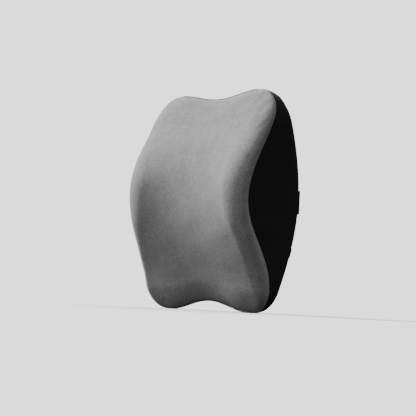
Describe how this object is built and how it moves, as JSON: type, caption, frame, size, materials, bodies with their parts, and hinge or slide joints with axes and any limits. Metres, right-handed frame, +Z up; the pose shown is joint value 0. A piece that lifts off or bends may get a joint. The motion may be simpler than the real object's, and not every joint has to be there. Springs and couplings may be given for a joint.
{
  "type": "car neck pillow",
  "caption": "Upright contoured foam neck pillow with a zipped two-tone cover, for strapping to a car headrest.",
  "frame": {"origin": "middle of the outer face of the strap that lies flat across the back, at the pillow's mid-height", "axes": "+Z up along the pillow's height, +Y out of the back towards the headrest, X across its width"},
  "size_m": [0.2678, 0.1138, 0.29],
  "materials": {
    "foam": "moulded open-cell foam skin",
    "velour": "grey short-pile velour",
    "knit": "black fine knit",
    "zip_tape": "black woven tape",
    "zip_teeth": "black moulded teeth",
    "enamel": "black enamelled zinc",
    "webbing": "black woven elastic",
    "buckle": "black acetal, fine spark texture"
  },
  "bodies": {
    "pillow": {"foam_core": "foam", "front_cover": "velour", "left_side_panel": "knit", "right_side_panel": "knit", "back_panel_upper": "knit", "back_panel_lower": "knit", "zip_tape_upper": "zip_tape", "zip_tape_lower": "zip_tape", "zip_chain_upper": "zip_teeth", "zip_chain_lower": "zip_teeth", "zip_stop_closed": "zip_teeth", "zip_stop_open": "zip_teeth", "elastic_strap": "webbing", "strap_tab": "webbing", "strap_adjuster": "buckle"},
    "slider": {"zip_slider": "enamel"},
    "pull": {"zip_pull": "enamel"}
  },
  "joints": [
    {"name": "zip_slide", "type": "slide", "parent": "pillow", "child": "slider", "axis": [1, 0, 0], "range_m": [0, 0.1688]},
    {"name": "pull_hinge", "type": "hinge", "parent": "slider", "child": "pull", "pos_m": [-0.0844, -0.00718, -0.06707], "axis": [0, 0.265, 0.9643], "range_deg": [0, 170]}
  ]
}
